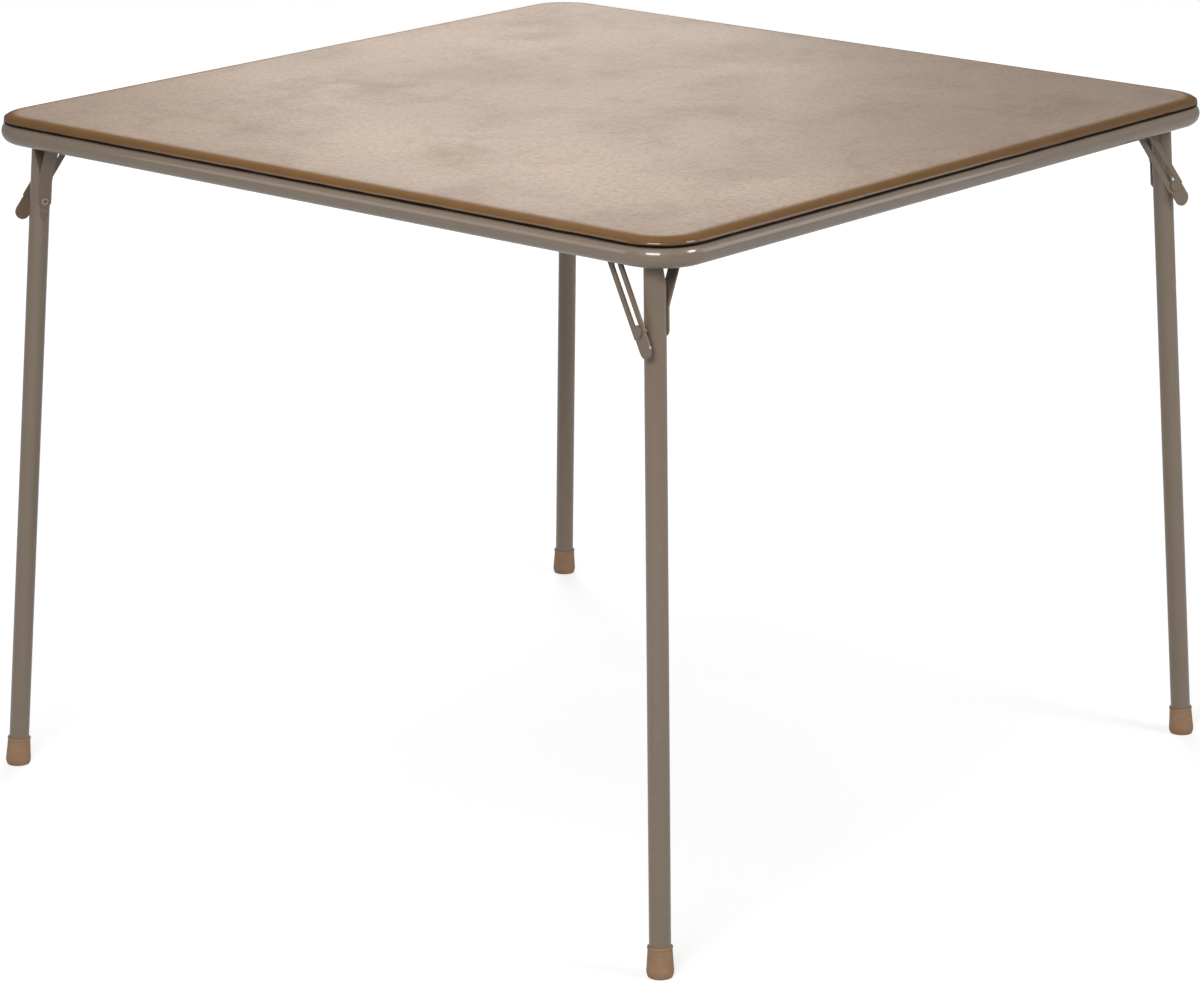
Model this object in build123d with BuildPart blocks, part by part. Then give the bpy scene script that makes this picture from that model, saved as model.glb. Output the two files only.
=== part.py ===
from build123d import *
import os
from math import acos, asin, atan2, cos, degrees, radians, sin, sqrt, tan

os.makedirs("parts", exist_ok=True)

# A square folding card table: a padded vinyl top on a frame of bent steel tube, with four tube legs.
# Every length is in millimetres and every angle in degrees.
# X runs along the front edge, Y away from it, Z up, and the origin is on the floor under the middle.

# Overall sizes
table_side = 914.0
table_height = 711.0
cut_overrun = 2.0

# Frame rail: one steel tube bent round four corners
rail_diameter = 22.6
rail_wall = 1.2
rail_corner_radius = 51.0

# Padded top: hardboard, a thin foam sheet and a vinyl cover turned under the board's edge
board_thickness = 3.2
foam_thickness = 3.4
cover_thickness = 0.8
cover_inset = 2.4
cover_corner_radius = 48.6
cover_edge_round = 3.2
cover_hem_round = 0.25
hem_width = 1.2
hem_drop = 0.8
top_gap = 0.1

# Leg tube and its two leans, and the turn of its folding plane away from the rail
leg_diameter = 21.0
leg_wall = 1.0
back_lean = 3.8
side_lean = 1.85
fold_turn = 15.0

# Hinge axis of a leg, measured in from the outer corner and down from the board
hinge_across = 40.0
hinge_along = 49.0
hinge_drop = 15.2
hinge_rod_radius = 3.175
hinge_play = 0.1
leg_end_radius = 11.5
leg_end_half_width = 11.0

# Lock rivet, the distance down the leg from the hinge axis, and the flats pressed into the tube
rivet_distance = 71.0
rivet_radius = 2.5
rivet_play = 0.05
seat_depth = 1.5
seat_below_rivet = 11.0
seat_ramp = 22.0
flat_start = 40.0
flat_slope = 0.26
press_round = 100.0
seat_round = 16.0

# Brace bar on the inner side, which makes the leg's upper end a fork
bar_thickness = 2.0
bar_width = 14.8
bar_bend_low = 50.0
bar_bend_high = 7.0
bar_spread = 14.4

# Sleeve that holds the fork open on the hinge rod
sleeve_radius = 5.0
sleeve_start = 0.2
sleeve_gap = 0.2

# Slotted lock link on the outer side
link_thickness = 2.0
link_width = 19.4
link_offset = 17.0
link_angle = 32.0
slot_width = 7.4
slot_top_margin = 4.6
slot_end_play = 0.3
shoulder_drop = 4.5
tongue_width = 16.8
tongue_length = 27.0
shoulder_round = 0.8

# Lock pin: the headed end that runs in the slot
pin_neck_radius = 3.4
pin_head_radius = 6.15
pin_head_thickness = 1.6
pin_head_round = 0.5
running_gap = 0.3

# Closed and rolled ends of the lock rivet
rivet_roll_radius = 4.0
rivet_roll_thickness = 1.1
rivet_roll_round = 0.5
rivet_bore_radius = 1.6
rivet_bore_depth = 4.0

# Corner bracket: a plate under the board with two ears for the hinge and a tab for the link
bracket_thickness = 2.0
bracket_rail_gap = 0.3
bracket_reach_along = 150.0
bracket_reach_across = 110.0
bracket_step_along = 50.0
bracket_step_across = 60.0
ear_radius = 9.0
ear_gap = 0.5
tab_radius = 9.0

# Hinge rod and link stud heads
head_radius = 5.5
head_thickness = 1.5
head_bevel = 0.6
stud_radius = 3.0

# Screws that hold the board to the corner brackets
screw_radius = 1.8
screw_play = 0.1
screw_head_radius = 3.6
screw_head_height = 1.8
screw_head_bevel = 0.9
screw_bite = 2.4
screw_from_end = 14.0
screw_from_rail = 32.0

# Rubber foot
foot_height = 30.0
foot_floor = 5.0
foot_bore_play = 0.05
foot_top_radius = 11.9
foot_lip_radius = 12.3
foot_lip_height = 2.0
foot_lip_bevel = 0.6
foot_waist_radius = 11.9
foot_waist_height = 26.5
foot_belly_radius = 13.0
foot_belly_height = 9.0
foot_tread_radius = 10.0
foot_hidden_drop = 3.0

# Heights worked out from the sizes above
half_side = table_side / 2
rail_radius = rail_diameter / 2
board_bottom = table_height - cover_thickness - foam_thickness - board_thickness - 2 * top_gap
rail_top = board_bottom - top_gap
rail_axis_height = rail_top - rail_radius
rail_straight = table_side - 2 * rail_corner_radius
hinge_height = board_bottom - hinge_drop
leg_radius = leg_diameter / 2

# Places in the folding plane: x towards the fold, y up, both from the hinge axis
fold_angle = 90.0 + back_lean
rivet_x = -rivet_distance * sin(radians(back_lean))
rivet_y = -rivet_distance * cos(radians(back_lean))
link_lean = link_angle + back_lean
pin_distance = -rivet_y / cos(radians(link_lean))
stud_x = rivet_x + pin_distance * sin(radians(link_lean))
folded_pin_distance = rivet_distance - stud_x
link_swing = 90.0 + link_lean
pin_travel = pin_distance - folded_pin_distance

# Places along the hinge axis, outwards negative
seat_face = leg_radius - seat_depth
bar_inner_low = seat_face
bar_inner_high = bar_inner_low + bar_spread
link_inner = -link_offset
link_outer = link_inner - link_thickness
outer_ear_face = -leg_radius - ear_gap
inner_ear_face = bar_inner_high + bar_thickness + ear_gap
tab_face = link_outer - running_gap

corner_turns = {"front_left": 0, "back_left": -90, "back_right": -180, "front_right": -270}


def turned(x, y, z, turn):
    """A place or direction given at the front left corner, turned to another corner."""
    return Vector(x, y, z).rotate(Axis.Z, turn)


def corner_place(across, along, z, turn):
    """A place given by its distances in from the outer corner."""
    return turned(across - half_side, along - half_side, z, turn)


def hinge_plane(turn):
    """The folding plane: its origin is on the hinge axis, x points the way the leg folds,
    y up and z along the hinge axis towards the inside of the table."""
    fold = turned(sin(radians(fold_turn)), cos(radians(fold_turn)), 0, turn)
    level = turned(cos(radians(fold_turn)), -sin(radians(fold_turn)), 0, turn)
    axis = level * cos(radians(side_lean)) - Vector(0, 0, 1) * sin(radians(side_lean))
    origin = corner_place(hinge_across, hinge_along, hinge_height, turn)
    return Plane(origin=origin, x_dir=fold, z_dir=axis)


def leg_face(turn):
    """The folding plane turned by the lean, so that y runs up the leg."""
    hinge = hinge_plane(turn)
    sideways = hinge.x_dir * cos(radians(back_lean)) - hinge.y_dir * sin(radians(back_lean))
    return Plane(origin=hinge.origin, x_dir=sideways, z_dir=hinge.z_dir)


def leg_section(turn):
    """The plane across the leg, with x along the hinge axis and z down the leg."""
    face = leg_face(turn)
    return Plane(origin=face.origin, x_dir=face.z_dir, z_dir=-face.y_dir)


def leg_side(turn):
    """The plane through the leg and the hinge axis, with x along the axis and y down the leg."""
    face = leg_face(turn)
    return Plane(origin=face.origin, x_dir=face.z_dir, z_dir=face.x_dir)


def link_face(turn):
    """The folding plane at the link's stud, turned so that y runs up the link."""
    hinge = hinge_plane(turn)
    origin = hinge.origin + hinge.x_dir * stud_x
    sideways = hinge.x_dir * cos(radians(link_lean)) - hinge.y_dir * sin(radians(link_lean))
    return Plane(origin=origin, x_dir=sideways, z_dir=hinge.z_dir)


def finish(piece, name):
    """Label a finished piece and write it to its own file."""
    piece.part.label = name
    export_step(piece.part, "parts/" + name + ".step")


# Frame rail: four straight tubes and four quarter bends, joined end to end
rail_arm = half_side - rail_corner_radius
with BuildPart() as frame_rail:
    for turn in corner_turns.values():
        start = Plane(
            origin=turned(rail_radius - half_side, -rail_arm, rail_axis_height, turn),
            x_dir=Vector(0, 0, 1),
            z_dir=turned(0, 1, 0, turn),
        )
        with BuildSketch(start):
            Circle(rail_radius)
            Circle(rail_radius - rail_wall, mode=Mode.SUBTRACT)
        extrude(amount=rail_straight)
    for turn in corner_turns.values():
        bend_centre = turned(-rail_arm, -rail_arm, 0, turn)
        start = Plane(
            origin=turned(rail_radius - half_side, -rail_arm, rail_axis_height, turn),
            x_dir=Vector(0, 0, 1),
            z_dir=turned(0, 1, 0, turn),
        )
        with BuildSketch(start):
            Circle(rail_radius)
            Circle(rail_radius - rail_wall, mode=Mode.SUBTRACT)
        revolve(axis=Axis(bend_centre, (0, 0, 1)), revolution_arc=90)
finish(frame_rail, "frame_rail")

# Vinyl cover: top skin, rolled edge and a hem turned under the board
cover_side = table_side - 2 * cover_inset
cover_bottom = board_bottom - hem_drop
inside_bottom = board_bottom - top_gap
inside_top = table_height - cover_thickness
inside_side = cover_side - 2 * cover_thickness
inside_corner = cover_corner_radius - cover_thickness
foam_bottom = board_bottom + board_thickness + top_gap
with BuildPart() as vinyl_cover:
    with BuildSketch(Plane.XY.offset(cover_bottom)):
        RectangleRounded(cover_side, cover_side, cover_corner_radius)
    extrude(amount=table_height - cover_bottom)
    fillet(vinyl_cover.faces().sort_by(Axis.Z)[-1].edges(), cover_edge_round)
    fillet(vinyl_cover.faces().sort_by(Axis.Z)[0].edges(), cover_hem_round)
    with BuildSketch(Plane.XY.offset(inside_bottom)):
        RectangleRounded(inside_side, inside_side, inside_corner)
    extrude(amount=foam_bottom - inside_bottom, mode=Mode.SUBTRACT)
    with BuildSketch(Plane.XY.offset(foam_bottom)):
        RectangleRounded(inside_side, inside_side, inside_corner)
    with BuildSketch(Plane.XY.offset(inside_top)):
        top_side = inside_side - 2 * (inside_top - foam_bottom)
        RectangleRounded(top_side, top_side, inside_corner - (inside_top - foam_bottom))
    loft(ruled=True, mode=Mode.SUBTRACT)
    with BuildSketch(Plane.XY.offset(cover_bottom - cut_overrun)):
        opening_side = inside_side - 2 * hem_width
        RectangleRounded(opening_side, opening_side, inside_corner - hem_width)
    extrude(amount=hem_drop + 2 * cut_overrun, mode=Mode.SUBTRACT)
finish(vinyl_cover, "vinyl_cover")

# Hardboard panel, with blind holes for the screws
board_side = inside_side - 2 * top_gap
screw_places = [
    (bracket_reach_across - screw_from_end, screw_from_rail),
    (screw_from_rail, bracket_reach_along - screw_from_end),
]
with BuildPart() as top_board:
    with BuildSketch(Plane.XY.offset(board_bottom)):
        RectangleRounded(board_side, board_side, inside_corner - top_gap)
    extrude(amount=board_thickness)
    for turn in corner_turns.values():
        for across, along in screw_places:
            with BuildSketch(Plane(origin=corner_place(across, along, board_bottom, turn))):
                Circle(screw_radius + screw_play)
            extrude(amount=screw_bite + screw_play, mode=Mode.SUBTRACT)
finish(top_board, "top_board")

# Foam sheet, with its upper edge sloped under the cover's rolled edge
foam_side = inside_side - 4 * top_gap
foam_corner = inside_corner - 2 * top_gap
with BuildPart() as foam_pad:
    with BuildSketch(Plane.XY.offset(foam_bottom)):
        RectangleRounded(foam_side, foam_side, foam_corner)
    with BuildSketch(Plane.XY.offset(foam_bottom + foam_thickness)):
        foam_top_side = foam_side - 2 * foam_thickness
        RectangleRounded(foam_top_side, foam_top_side, foam_corner - foam_thickness)
    loft(ruled=True)
finish(foam_pad, "foam_pad")

# Screws from below through the corner brackets into the board
plate_bottom = board_bottom - top_gap - bracket_thickness
with BuildPart() as top_screws:
    for turn in corner_turns.values():
        for across, along in screw_places:
            with BuildSketch(Plane(origin=corner_place(across, along, plate_bottom, turn))):
                Circle(screw_radius)
            extrude(amount=bracket_thickness + top_gap + screw_bite)
            with BuildSketch(Plane(origin=corner_place(across, along, plate_bottom, turn))):
                Circle(screw_head_radius)
            extrude(amount=-screw_head_height)
    head_rims = top_screws.faces().group_by(Axis.Z)[0].edges()
    chamfer(head_rims, screw_head_bevel)
finish(top_screws, "top_screws")

for corner, turn in corner_turns.items():
    hinge = hinge_plane(turn)
    face = leg_face(turn)
    section = leg_section(turn)
    side = leg_side(turn)
    link_plane = link_face(turn)

    # Corner bracket: plate under the board, two ears for the hinge and a tab for the link
    rail_reach = sqrt(rail_radius**2 - (rail_radius - bracket_thickness) ** 2)
    plate_edge = bracket_rail_gap + rail_radius + rail_reach
    plate_corner = rail_corner_radius - plate_edge
    bend = plate_edge + plate_corner
    bend_middle = bend - plate_corner * cos(radians(45))
    ear_height = hinge_drop + cut_overrun
    with BuildPart() as corner_bracket:
        with BuildSketch(Plane(origin=(0, 0, plate_bottom))) as plate_sketch:
            with BuildLine():
                Line(
                    corner_place(plate_edge, bracket_reach_along, 0, turn),
                    corner_place(plate_edge, bend, 0, turn),
                )
                ThreePointArc(
                    corner_place(plate_edge, bend, 0, turn),
                    corner_place(bend_middle, bend_middle, 0, turn),
                    corner_place(bend, plate_edge, 0, turn),
                )
                Polyline(
                    corner_place(bend, plate_edge, 0, turn),
                    corner_place(bracket_reach_across, plate_edge, 0, turn),
                    corner_place(bracket_reach_across, bracket_step_along, 0, turn),
                    corner_place(bracket_step_across, bracket_reach_along, 0, turn),
                    corner_place(plate_edge, bracket_reach_along, 0, turn),
                )
            make_face()
        extrude(amount=bracket_thickness)
        for ear_start in (outer_ear_face, inner_ear_face + bracket_thickness):
            with BuildSketch(hinge.offset(ear_start)):
                Circle(ear_radius)
                with Locations((0, ear_height / 2)):
                    Rectangle(2 * ear_radius, ear_height)
            extrude(amount=-bracket_thickness)
        with BuildSketch(hinge.offset(tab_face)):
            with Locations((stud_x, 0)):
                Circle(tab_radius)
            with Locations((stud_x, ear_height / 2)):
                Rectangle(2 * tab_radius, ear_height)
        extrude(amount=-bracket_thickness)
        split(bisect_by=Plane.XY.offset(plate_bottom + bracket_thickness), keep=Keep.BOTTOM)
        with BuildSketch(hinge.offset(outer_ear_face - bracket_thickness - cut_overrun)):
            Circle(hinge_rod_radius + rivet_play)
        ear_span = inner_ear_face - outer_ear_face + 2 * bracket_thickness
        extrude(amount=ear_span + 2 * cut_overrun, mode=Mode.SUBTRACT)
        with BuildSketch(hinge.offset(tab_face + cut_overrun)):
            with Locations((stud_x, 0)):
                Circle(stud_radius + rivet_play)
        extrude(amount=-bracket_thickness - 2 * cut_overrun, mode=Mode.SUBTRACT)
        for across, along in screw_places:
            with BuildSketch(Plane(origin=corner_place(across, along, plate_bottom, turn))):
                Circle(screw_radius + screw_play)
            extrude(amount=bracket_thickness, mode=Mode.SUBTRACT)
    finish(corner_bracket, "corner_bracket_" + corner)

    # Hinge rod, headed over at both ends
    rod_start = outer_ear_face - bracket_thickness - head_thickness
    rod_end = inner_ear_face + bracket_thickness + head_thickness
    with BuildPart() as hinge_rod:
        with BuildSketch(hinge.offset(rod_start)):
            Circle(hinge_rod_radius)
        extrude(amount=rod_end - rod_start)
        for head_start in (rod_start, rod_end - head_thickness):
            with BuildSketch(hinge.offset(head_start)):
                Circle(head_radius)
            extrude(amount=head_thickness)
        chamfer(hinge_rod.faces().sort_by(Axis(hinge.origin, hinge.z_dir))[0].edges(), head_bevel)
        chamfer(hinge_rod.faces().sort_by(Axis(hinge.origin, hinge.z_dir))[-1].edges(), head_bevel)
    finish(hinge_rod, "hinge_rod_" + corner)

    # Link stud: a rivet through the tab that the lock link turns on
    stud_outer = tab_face - bracket_thickness
    stud_inner = link_inner + running_gap
    with BuildPart() as link_stud:
        with BuildSketch(link_plane.offset(stud_outer - head_thickness)):
            Circle(head_radius)
        extrude(amount=head_thickness)
        with BuildSketch(link_plane.offset(stud_outer)):
            Circle(stud_radius)
        extrude(amount=stud_inner - stud_outer)
        with BuildSketch(link_plane.offset(stud_inner)):
            Circle(head_radius)
        extrude(amount=head_thickness)
        chamfer(link_stud.faces().sort_by(Axis(hinge.origin, hinge.z_dir))[0].edges(), head_bevel)
        chamfer(link_stud.faces().sort_by(Axis(hinge.origin, hinge.z_dir))[-1].edges(), head_bevel)
    finish(link_stud, "link_stud_" + corner)

    # Bore of the leg tube, which follows the pressed flats one wall inside
    leg_reach = hinge_height / (cos(radians(back_lean)) * cos(radians(side_lean)))
    tube_end = leg_reach - foot_floor
    seat_end = rivet_distance + seat_below_rivet
    flat_end = -leg_end_radius - cut_overrun
    flat_top_face = seat_face - flat_slope * (flat_start - flat_end)
    clear_face = leg_radius + cut_overrun
    with BuildPart() as leg_bore:
        with BuildSketch(section.offset(flat_end)):
            Circle(leg_radius - leg_wall)
        extrude(amount=tube_end - flat_end + cut_overrun)
        with BuildSketch(side) as bore_press:
            with BuildLine():
                Polyline(
                    (clear_face - leg_wall, seat_end + seat_ramp),
                    (seat_face - leg_wall, seat_end),
                    (seat_face - leg_wall, flat_start),
                    (flat_top_face - leg_wall, flat_end - cut_overrun),
                    (clear_face - leg_wall, flat_end - cut_overrun),
                    close=True,
                )
            make_face()
            fillet(bore_press.vertices().sort_by_distance((seat_face, flat_start))[0], press_round)
            fillet(bore_press.vertices().sort_by_distance((seat_face, seat_end))[0], seat_round)
        extrude(amount=leg_radius + cut_overrun, both=True, mode=Mode.SUBTRACT)

    # Leg tube: pressed flat on its inner side for the bar, then sloped off to a thin ear at the hinge
    with BuildPart() as leg_tube:
        with BuildSketch(section.offset(flat_end)):
            Circle(leg_radius)
        extrude(amount=tube_end - flat_end)
        with BuildSketch(side) as tube_press:
            with BuildLine():
                Polyline(
                    (clear_face, seat_end + seat_ramp),
                    (seat_face, seat_end),
                    (seat_face, flat_start),
                    (flat_top_face, flat_end - cut_overrun),
                    (clear_face, flat_end - cut_overrun),
                    close=True,
                )
            make_face()
            fillet(tube_press.vertices().sort_by_distance((seat_face, flat_start))[0], press_round)
            fillet(tube_press.vertices().sort_by_distance((seat_face, seat_end))[0], seat_round)
        extrude(amount=leg_radius + cut_overrun, both=True, mode=Mode.SUBTRACT)
        add(leg_bore.part, mode=Mode.SUBTRACT)
        end_side = sqrt(leg_end_radius**2 - leg_end_half_width**2)
        with BuildSketch(face):
            with BuildLine():
                ThreePointArc(
                    (-leg_end_half_width, end_side),
                    (0, leg_end_radius),
                    (leg_end_half_width, end_side),
                )
                Polyline(
                    (leg_end_half_width, end_side),
                    (leg_end_half_width, -tube_end - cut_overrun),
                    (-leg_end_half_width, -tube_end - cut_overrun),
                    (-leg_end_half_width, end_side),
                )
            make_face()
        extrude(amount=leg_radius + cut_overrun, both=True, mode=Mode.INTERSECT)
        with BuildSketch(face):
            Circle(hinge_rod_radius + hinge_play)
        extrude(amount=leg_radius + cut_overrun, both=True, mode=Mode.SUBTRACT)
        with BuildSketch(face):
            with Locations((0, -rivet_distance)):
                Circle(rivet_radius + rivet_play)
        extrude(amount=leg_radius + cut_overrun, both=True, mode=Mode.SUBTRACT)
    finish(leg_tube, "leg_tube_" + corner)

    # Brace bar: flat strip, straight against the leg's seat and bent out to the hinge rod's inner end
    bar_half = bar_width / 2
    with BuildPart() as brace_bar:
        with BuildSketch(side):
            with BuildLine():
                Polyline(
                    (bar_inner_low, rivet_distance + bar_width),
                    (bar_inner_low, bar_bend_low),
                    (bar_inner_high, bar_bend_high),
                    (bar_inner_high, -bar_width),
                    (bar_inner_high + bar_thickness, -bar_width),
                    (bar_inner_high + bar_thickness, bar_bend_high),
                    (bar_inner_low + bar_thickness, bar_bend_low),
                    (bar_inner_low + bar_thickness, rivet_distance + bar_width),
                    close=True,
                )
            make_face()
        extrude(amount=bar_width, both=True)
        with BuildSketch(face):
            with Locations(Location((0, -rivet_distance / 2, 0), (0, 0, 90))):
                SlotCenterToCenter(rivet_distance, bar_width)
        extrude(amount=bar_inner_high + bar_thickness + cut_overrun, mode=Mode.INTERSECT)
        with BuildSketch(face):
            Circle(hinge_rod_radius + hinge_play)
            with Locations((0, -rivet_distance)):
                Circle(rivet_radius + rivet_play)
        extrude(amount=bar_inner_high + bar_thickness + cut_overrun, mode=Mode.SUBTRACT)
    finish(brace_bar, "brace_bar_" + corner)

    # Spread sleeve on the hinge rod, between the tube's ear and the bar
    with BuildPart() as spread_sleeve:
        with BuildSketch(face.offset(sleeve_start)):
            Circle(sleeve_radius)
            Circle(hinge_rod_radius + hinge_play, mode=Mode.SUBTRACT)
        extrude(amount=bar_inner_high - sleeve_gap - sleeve_start)
    finish(spread_sleeve, "spread_sleeve_" + corner)

    # Lock rivet: through bar and tube, rolled over on the bar, and standing off towards the link
    rivet_outer = link_inner + running_gap
    bar_outer = bar_inner_low + bar_thickness
    with BuildPart() as lock_rivet:
        with BuildSketch(face.offset(rivet_outer)):
            with Locations((0, -rivet_distance)):
                Circle(rivet_radius)
        extrude(amount=bar_outer - rivet_outer)
        with BuildSketch(face.offset(bar_outer)):
            with Locations((0, -rivet_distance)):
                Circle(rivet_roll_radius)
        extrude(amount=rivet_roll_thickness)
        fillet(lock_rivet.faces().sort_by(Axis(hinge.origin, hinge.z_dir))[-1].edges(), rivet_roll_round)
        with BuildSketch(face.offset(bar_outer + rivet_roll_thickness)):
            with Locations((0, -rivet_distance)):
                Circle(rivet_bore_radius)
        extrude(amount=-rivet_bore_depth, mode=Mode.SUBTRACT)
    finish(lock_rivet, "lock_rivet_" + corner)

    # Rubber foot: lip, waist, belly and tread turned about the leg, cut level with the floor
    foot_start = leg_reach - foot_height
    foot_end = leg_reach + foot_hidden_drop
    with BuildPart() as rubber_foot:
        with BuildSketch(side):
            with BuildLine():
                Line((0, foot_start), (foot_lip_radius, foot_start))
                Line((foot_lip_radius, foot_start), (foot_lip_radius, foot_start + foot_lip_height))
                Line(
                    (foot_lip_radius, foot_start + foot_lip_height),
                    (foot_waist_radius, leg_reach - foot_waist_height),
                )
                belly = leg_reach - foot_belly_height
                Line((foot_waist_radius, leg_reach - foot_waist_height), (foot_belly_radius, belly))
                tread_drop = foot_end - belly
                ThreePointArc(
                    (foot_belly_radius, belly),
                    (
                        foot_tread_radius + (foot_belly_radius - foot_tread_radius) * sin(radians(45)),
                        belly + tread_drop * sin(radians(45)),
                    ),
                    (foot_tread_radius, foot_end),
                )
                Line((foot_tread_radius, foot_end), (0, foot_end))
                Line((0, foot_end), (0, foot_start))
            make_face()
        revolve(axis=Axis(face.origin, face.y_dir))
        chamfer(rubber_foot.faces().sort_by(Axis(face.origin, face.y_dir))[-1].edges(), foot_lip_bevel)
        with BuildSketch(section.offset(foot_start)):
            Circle(leg_radius + foot_bore_play)
        extrude(amount=tube_end - foot_start, mode=Mode.SUBTRACT)
        split(bisect_by=Plane.XY, keep=Keep.TOP)
    finish(rubber_foot, "rubber_foot_" + corner)

    # Lock link: flat strip with a long slot, rounded at the stud, with a narrower release tongue
    slot_high = folded_pin_distance - slot_top_margin
    slot_low = pin_distance + slot_end_play
    shoulder = pin_distance + shoulder_drop
    link_end = pin_distance + tongue_length
    link_half = link_width / 2
    tongue_half = tongue_width / 2
    shoulder_middle = link_inner - link_thickness / 2
    with BuildPart() as lock_link:
        with BuildSketch(link_plane.offset(link_inner)):
            Circle(link_half)
            with Locations((0, -shoulder / 2)):
                Rectangle(link_width, shoulder)
            with Locations((0, -(link_end - tongue_half) / 2)):
                Rectangle(tongue_width, link_end - tongue_half)
            with Locations((0, -(link_end - tongue_half))):
                Circle(tongue_half)
            with Locations(Location((0, -(slot_high + slot_low) / 2, 0), (0, 0, 90))):
                SlotCenterToCenter(slot_low - slot_high, slot_width, mode=Mode.SUBTRACT)
            Circle(stud_radius + hinge_play, mode=Mode.SUBTRACT)
        extrude(amount=-link_thickness)
        for shoulder_side in (-link_half, link_half):
            shoulder_corner = link_plane.from_local_coords((shoulder_side, -shoulder, shoulder_middle))
            shoulder_edge = lock_link.edges().sort_by_distance(shoulder_corner)[0]
            fillet(shoulder_edge, shoulder_round)
    finish(lock_link, "lock_link_" + corner)

    # Lock pin: neck in the slot and a flat round head over it
    with BuildPart() as lock_pin:
        with BuildSketch(link_plane.offset(link_inner)):
            with Locations((0, -pin_distance)):
                Circle(pin_neck_radius)
        extrude(amount=-link_thickness - running_gap)
        with BuildSketch(link_plane.offset(link_outer - running_gap)):
            with Locations((0, -pin_distance)):
                Circle(pin_head_radius)
        extrude(amount=-pin_head_thickness)
        fillet(lock_pin.faces().sort_by(Axis(hinge.origin, hinge.z_dir))[0].edges(), pin_head_round)
    finish(lock_pin, "lock_pin_" + corner)

print("fold angle", round(fold_angle, 3), "link swing", round(link_swing, 3))
print("pin distance at rest and folded", round(pin_distance, 3), round(folded_pin_distance, 3))
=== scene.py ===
# %% [markdown]
# # A folding card table
# The table is packed as a fixed frame of solids: a square of bent steel tube, four tube legs with
# their slotted lock links, and rubber feet. This notebook dresses that frame. It makes the padded
# vinyl top as a new piece, gives every metal, rubber and board part its finish, and sets the light
# and the camera of the photograph. All lengths are in metres, in the same space as the frame.

# %% Load the frame
import math
import bpy
import numpy as np
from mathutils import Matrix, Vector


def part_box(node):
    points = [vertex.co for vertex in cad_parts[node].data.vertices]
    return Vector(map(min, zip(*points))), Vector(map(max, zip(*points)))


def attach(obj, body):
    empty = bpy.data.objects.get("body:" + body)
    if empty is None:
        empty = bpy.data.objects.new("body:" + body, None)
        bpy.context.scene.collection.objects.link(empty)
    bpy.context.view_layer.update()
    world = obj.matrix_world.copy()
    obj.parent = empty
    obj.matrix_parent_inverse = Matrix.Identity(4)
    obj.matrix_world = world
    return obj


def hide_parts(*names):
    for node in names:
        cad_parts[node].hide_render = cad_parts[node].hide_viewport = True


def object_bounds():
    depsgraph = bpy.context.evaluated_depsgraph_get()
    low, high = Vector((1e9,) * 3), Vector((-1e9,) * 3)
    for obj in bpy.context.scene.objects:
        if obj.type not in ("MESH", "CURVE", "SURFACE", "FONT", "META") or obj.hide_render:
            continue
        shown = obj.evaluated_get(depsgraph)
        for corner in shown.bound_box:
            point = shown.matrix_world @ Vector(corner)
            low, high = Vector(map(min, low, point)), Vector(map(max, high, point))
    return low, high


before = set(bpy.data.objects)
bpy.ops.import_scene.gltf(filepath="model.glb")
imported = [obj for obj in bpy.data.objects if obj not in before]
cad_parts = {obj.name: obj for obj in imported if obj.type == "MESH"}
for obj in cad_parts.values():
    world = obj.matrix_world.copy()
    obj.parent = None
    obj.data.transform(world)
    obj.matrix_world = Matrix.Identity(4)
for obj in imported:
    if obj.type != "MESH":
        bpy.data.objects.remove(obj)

cad_low, cad_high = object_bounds()
print("frame box", [round(v, 4) for v in cad_low], [round(v, 4) for v in cad_high])

# %% [markdown]
# ## Building a shader in a few words
# A material is a graph of small steps. Three helpers keep its code short: one adds a node and sets
# its inputs, one joins two sockets, and one starts a material with its Principled shader. Every
# pattern is read from Object coordinates, which stay fixed to a piece when a leg folds.

# %% Node helpers
def add_node(tree, kind, **inputs):
    """Adds a node of the given kind and sets its named inputs. An underscore stands for a space."""
    node = tree.nodes.new(kind)
    for name, value in inputs.items():
        node.inputs[name.replace("_", " ")].default_value = value
    return node


def join(tree, source, target):
    """Draws one link from an output socket to an input socket."""
    tree.links.new(source, target)


def start_material(name):
    """Makes a material with a Principled shader.

    Returns the material, its node tree, the shader and the socket of the Object coordinates."""
    material = bpy.data.materials.new(name)
    material.use_nodes = True
    tree = material.node_tree
    tree.nodes.clear()
    shader = tree.nodes.new("ShaderNodeBsdfPrincipled")
    output = tree.nodes.new("ShaderNodeOutputMaterial")
    join(tree, shader.outputs["BSDF"], output.inputs["Surface"])
    place = tree.nodes.new("ShaderNodeTexCoord").outputs["Object"]
    return material, tree, shader, place


def linear(red, green, blue):
    """A colour written in 0 to 255 display values, as the linear colour that shaders work in.

    Each value is divided by 255 and raised to the power 2.2, and the alpha is 1."""
    return tuple((v / 255) ** 2.2 for v in (red, green, blue)) + (1.0,)


taupe = linear(141, 123, 105)
print("taupe paint in linear light", [round(v, 3) for v in taupe])

# %% [markdown]
# ## Effects that several finishes share: colour drift
# Paint, rubber, vinyl and board all drift a little in colour over the surface, all have a fine
# relief, and all show marks of wear. Those nodes could be repeated in each material, but each effect
# is a node group here, built once, which a material uses with its own scale and strength. The first
# group is the drift: soft noise that makes a colour a little darker here and a little paler there.

# %% Colour drift group
def new_group(name, inputs, outputs):
    """Makes a node group with named sockets. Returns it, its input node and its output node."""
    group = bpy.data.node_groups.new(name, "ShaderNodeTree")
    for label, kind, value in inputs:
        socket = group.interface.new_socket(label, in_out="INPUT", socket_type=kind)
        if value is not None:
            socket.default_value = value
    for label, kind in outputs:
        group.interface.new_socket(label, in_out="OUTPUT", socket_type=kind)
    return group, group.nodes.new("NodeGroupInput"), group.nodes.new("NodeGroupOutput")


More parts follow.
